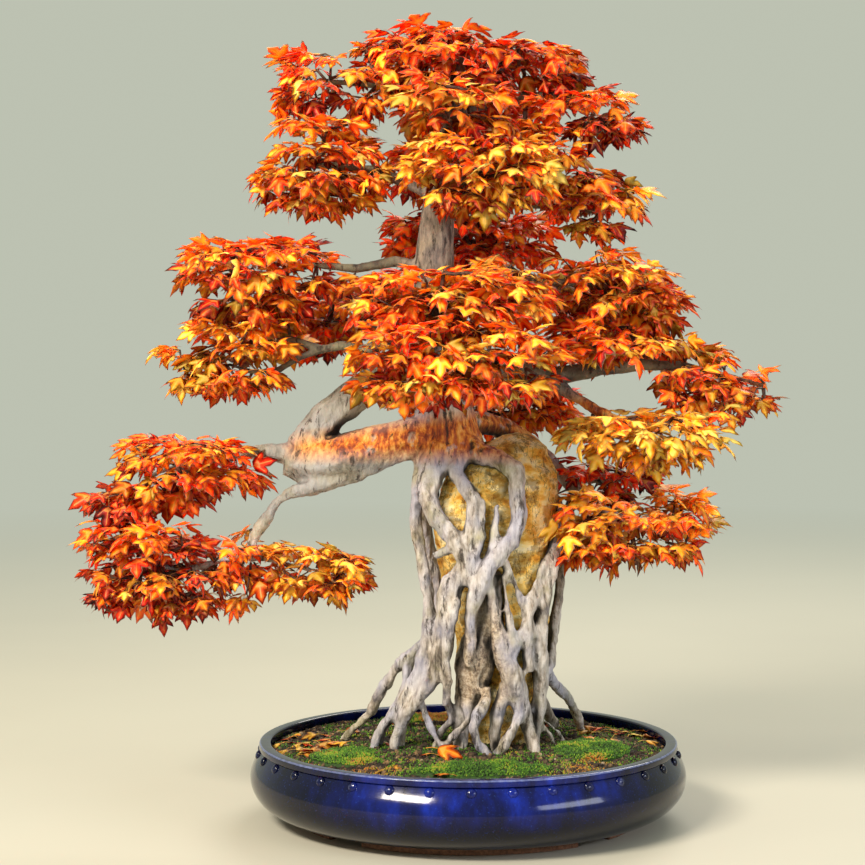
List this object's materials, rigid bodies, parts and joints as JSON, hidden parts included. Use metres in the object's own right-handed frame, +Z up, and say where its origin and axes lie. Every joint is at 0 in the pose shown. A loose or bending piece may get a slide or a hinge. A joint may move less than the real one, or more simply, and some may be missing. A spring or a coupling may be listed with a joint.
{
  "type": "bonsai tree in a pot",
  "caption": "Root-over-rock maple bonsai in autumn leaf, its layered foliage above roots that clasp an upright stone, in a shallow round studded drum pot with soil and moss.",
  "frame": {"origin": "centre of the pot's underside pad, on the surface that the pot stands on", "axes": "+Z up along the pot's axis and the tree's height, -Y the front that faces the viewer, +X to the viewer's right"},
  "size_m": [0.7126, 0.44, 0.802],
  "materials": {
    "pot_glaze": "glossy cobalt-blue glaze, nearly black in shade",
    "screen_plastic": "dark moulded netting",
    "soil": "dark granular baked-clay bonsai soil, damp",
    "rock": "weathered ochre stone",
    "bark": "pale grey fissured bark, ochre where it catches the light",
    "leaves": "three-lobed autumn leaves, deep red to golden yellow",
    "moss": "soft green and golden-brown moss",
    "fallen_leaf": "dry curled autumn leaf"
  },
  "bodies": {
    "root": {"pot": "pot_glaze", "drainage_screen_1": "screen_plastic", "drainage_screen_2": "screen_plastic", "drainage_screen_3": "screen_plastic", "soil": "soil", "rock": "rock", "trunk_and_roots": "bark", "branch_back_left": "bark", "branch_back_low": "bark", "branch_back_right": "bark", "branch_back_upper": "bark", "branch_crown_back": "bark", "branch_crown_front": "bark", "branch_crown_left": "bark", "branch_crown_right": "bark", "branch_front": "bark", "branch_left_lower": "bark", "branch_left_middle": "bark", "branch_left_upper": "bark", "branch_right_lower": "bark", "branch_right_middle": "bark", "branch_right_wide": "bark", "branch_second_back": "bark", "branch_second_front": "bark", "branch_second_left": "bark", "branch_second_right": "bark", "leaves_apex": "leaves", "leaves_back_left": "leaves", "leaves_back_low": "leaves", "leaves_back_right": "leaves", "leaves_back_upper": "leaves", "leaves_crown_back": "leaves", "leaves_crown_front": "leaves", "leaves_crown_left": "leaves", "leaves_crown_right": "leaves", "leaves_front": "leaves", "leaves_front_upper": "leaves", "leaves_left_low": "leaves", "leaves_left_low_inner": "leaves", "leaves_left_middle": "leaves", "leaves_left_outer": "leaves", "leaves_left_upper": "leaves", "leaves_right_low": "leaves", "leaves_right_low_back": "leaves", "leaves_right_middle": "leaves", "leaves_right_tip": "leaves", "leaves_right_wide": "leaves", "leaves_right_yellow": "leaves", "leaves_second_back": "leaves", "leaves_second_front": "leaves", "leaves_second_left": "leaves", "leaves_second_right": "leaves", "moss_back": "moss", "moss_front": "moss", "moss_left": "moss", "moss_right": "moss", "fallen_leaf_front": "fallen_leaf", "fallen_leaf_left": "fallen_leaf", "fallen_leaf_right": "fallen_leaf"}
  },
  "joints": []
}
